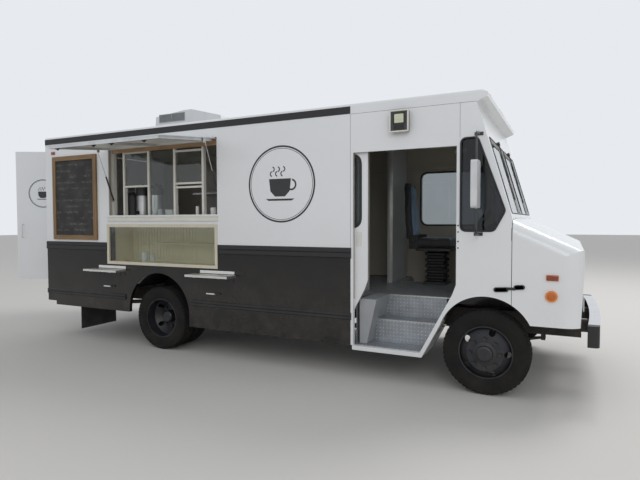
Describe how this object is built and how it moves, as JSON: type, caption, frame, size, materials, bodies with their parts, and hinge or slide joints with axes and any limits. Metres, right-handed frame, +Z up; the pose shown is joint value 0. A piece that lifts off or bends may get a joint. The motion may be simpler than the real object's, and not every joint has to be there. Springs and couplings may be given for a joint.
{
  "type": "step van food truck",
  "caption": "Walk-in step van converted to a coffee truck, with a raised serving hatch, display case, fold shelves, sliding cab doors and a tilting hood.",
  "frame": {"origin": "on the ground under the middle of the bounding box", "axes": "+X forward, +Y to the vehicle's left, +Z up"},
  "size_m": [7.9011, 3.614, 3.262],
  "materials": {
    "chassis_black": "satin",
    "engine_iron": "matte",
    "floor_plate": "satin",
    "body_white": "gloss",
    "window_glass": "gloss",
    "black_rubber": "satin",
    "bumper_chrome": "polished",
    "roof_unit_paint": "satin",
    "window_aluminium": "satin",
    "case_cream": "satin",
    "board_wood": "satin",
    "mirror_plastic": "satin",
    "lamp_plastic": "gloss",
    "seat_fabric": "matte",
    "dash_plastic": "matte",
    "kitchen_steel": "brushed",
    "grille_plastic": "gloss",
    "hatch_aluminium": "satin",
    "strut_black": "gloss",
    "strut_steel": "polished",
    "steering_iron": "matte",
    "shelf_aluminium": "satin",
    "rim_paint": "satin",
    "tyre": "matte"
  },
  "bodies": {
    "body": {"frame_chassis": "chassis_black", "axles_and_springs": "chassis_black", "engine_and_driveline": "engine_iron", "body_floor": "floor_plate", "cab_steps": "floor_plate", "side_wall_right": "body_white", "side_wall_left": "body_white", "roof_shell": "body_white", "rear_wall": "body_white", "cab_front": "body_white", "fixed_glass": "window_glass", "rubber_trim": "black_rubber", "front_bumper": "bumper_chrome", "roof_unit": "roof_unit_paint", "serving_window": "window_aluminium", "display_case": "case_cream", "menu_board": "board_wood", "mirrors_and_wipers": "mirror_plastic", "lamps": "lamp_plastic", "driver_seat": "seat_fabric", "dashboard": "dash_plastic", "interior_fitout": "kitchen_steel"},
    "hood": {"hood_shell": "body_white", "hood_front": "grille_plastic"},
    "serving_hatch": {"serving_hatch": "hatch_aluminium"},
    "strut_barrel_rear": {"strut_barrel_rear": "strut_black"},
    "strut_barrel_front": {"strut_barrel_front": "strut_black"},
    "strut_rod_rear": {"strut_rod_rear": "strut_steel"},
    "strut_rod_front": {"strut_rod_front": "strut_steel"},
    "tie_rod": {"tie_rod": "steering_iron"},
    "fold_shelf_rear": {"fold_shelf_rear": "shelf_aluminium"},
    "fold_shelf_front": {"fold_shelf_front": "shelf_aluminium"},
    "cab_door_right": {"cab_door_right": "body_white", "cab_door_glass_right": "window_glass"},
    "cab_door_left": {"cab_door_left": "body_white", "cab_door_glass_left": "window_glass"},
    "rear_door_right": {"rear_door_right": "body_white"},
    "rear_door_left": {"rear_door_left": "body_white"},
    "front_knuckle_right": {"front_knuckle_right": "steering_iron"},
    "front_knuckle_left": {"front_knuckle_left": "steering_iron"},
    "front_wheel_right": {"front_rim_right": "rim_paint", "front_tyre_right": "tyre"},
    "front_wheel_left": {"front_rim_left": "rim_paint", "front_tyre_left": "tyre"},
    "rear_wheels_right": {"rear_rims_right": "rim_paint", "rear_tyres_right": "tyre"},
    "rear_wheels_left": {"rear_rims_left": "rim_paint", "rear_tyres_left": "tyre"}
  },
  "joints": [
    {"name": "steer_right", "type": "hinge", "parent": "body", "child": "front_knuckle_right", "pos_m": [2.96066, -0.62303, 0.4055], "axis": [0, 0, 1], "range_deg": [-32, 32]},
    {"name": "steer_left", "type": "hinge", "parent": "body", "child": "front_knuckle_left", "pos_m": [2.96066, 1.24697, 0.4055], "axis": [0, 0, 1], "range_deg": [-32, 32]},
    {"name": "tie_rod_slide", "type": "slide", "parent": "body", "child": "tie_rod", "axis": [0, 1, 0], "range_m": [-0.084, 0.084]},
    {"name": "front_wheel_right_spin", "type": "hinge", "parent": "front_knuckle_right", "child": "front_wheel_right", "pos_m": [2.96066, -0.74603, 0.4055], "axis": [0, 1, 0], "continuous": true},
    {"name": "rear_wheels_right_spin", "type": "hinge", "parent": "body", "child": "rear_wheels_right", "pos_m": [-1.07934, -0.61803, 0.4055], "axis": [0, 1, 0], "continuous": true},
    {"name": "front_wheel_left_spin", "type": "hinge", "parent": "front_knuckle_left", "child": "front_wheel_left", "pos_m": [2.96066, 1.36997, 0.4055], "axis": [0, 1, 0], "continuous": true},
    {"name": "rear_wheels_left_spin", "type": "hinge", "parent": "body", "child": "rear_wheels_left", "pos_m": [-1.07934, 1.24197, 0.4055], "axis": [0, 1, 0], "continuous": true},
    {"name": "hood_tilt", "type": "hinge", "parent": "body", "child": "hood", "pos_m": [3.72066, 0.31197, 0.772], "axis": [0, 1, 0], "range_deg": [0, 60]},
    {"name": "serving_hatch_hinge", "type": "hinge", "parent": "body", "child": "serving_hatch", "pos_m": [-1.03184, -0.89803, 2.66], "axis": [1, 0, 0], "range_deg": [0, 84]},
    {"name": "strut_barrel_rear_swing", "type": "hinge", "parent": "body", "child": "strut_barrel_rear", "pos_m": [-1.91734, -0.82603, 1.95], "axis": [1, 0, 0], "range_deg": [-20.75, 0]},
    {"name": "strut_rod_rear_slide", "type": "slide", "parent": "strut_barrel_rear", "child": "strut_rod_rear", "axis": [0, -0.3658, 0.9307], "range_m": [-0.14514, 0]},
    {"name": "strut_barrel_front_swing", "type": "hinge", "parent": "body", "child": "strut_barrel_front", "pos_m": [-0.14634, -0.82603, 1.95], "axis": [1, 0, 0], "range_deg": [-20.75, 0]},
    {"name": "strut_rod_front_slide", "type": "slide", "parent": "strut_barrel_front", "child": "strut_rod_front", "axis": [0, -0.3658, 0.9307], "range_m": [-0.14514, 0]},
    {"name": "cab_door_right_slide", "type": "slide", "parent": "body", "child": "cab_door_right", "axis": [1, 0, 0], "range_m": [0, 0.929]},
    {"name": "cab_door_left_slide", "type": "slide", "parent": "body", "child": "cab_door_left", "axis": [-1, 0, 0], "range_m": [0, 0.929]},
    {"name": "rear_door_right_hinge", "type": "hinge", "parent": "body", "child": "rear_door_right", "pos_m": [-3.23534, -0.48803, 1.74], "axis": [0, 0, 1], "range_deg": [-120, 60]},
    {"name": "rear_door_left_hinge", "type": "hinge", "parent": "body", "child": "rear_door_left", "pos_m": [-3.23534, 1.11197, 1.74], "axis": [0, 0, 1], "range_deg": [-180, 0]},
    {"name": "fold_shelf_rear_hinge", "type": "hinge", "parent": "body", "child": "fold_shelf_rear", "pos_m": [-1.90534, -0.90803, 1.009], "axis": [1, 0, 0], "range_deg": [0, 90]},
    {"name": "fold_shelf_front_hinge", "type": "hinge", "parent": "body", "child": "fold_shelf_front", "pos_m": [-0.14834, -0.90803, 1.009], "axis": [1, 0, 0], "range_deg": [0, 90]}
  ],
  "couplings": [
    {"joint": "steer_left", "follows": "steer_right", "ratio": 1},
    {"joint": "tie_rod_slide", "follows": "steer_right", "m_per_rad": -0.15},
    {"joint": "strut_barrel_rear_swing", "follows": "serving_hatch_hinge", "ratio": -0.24643},
    {"joint": "strut_rod_rear_slide", "follows": "serving_hatch_hinge", "m_per_rad": -0.098862},
    {"joint": "strut_barrel_front_swing", "follows": "serving_hatch_hinge", "ratio": -0.24643},
    {"joint": "strut_rod_front_slide", "follows": "serving_hatch_hinge", "m_per_rad": -0.098862}
  ]
}
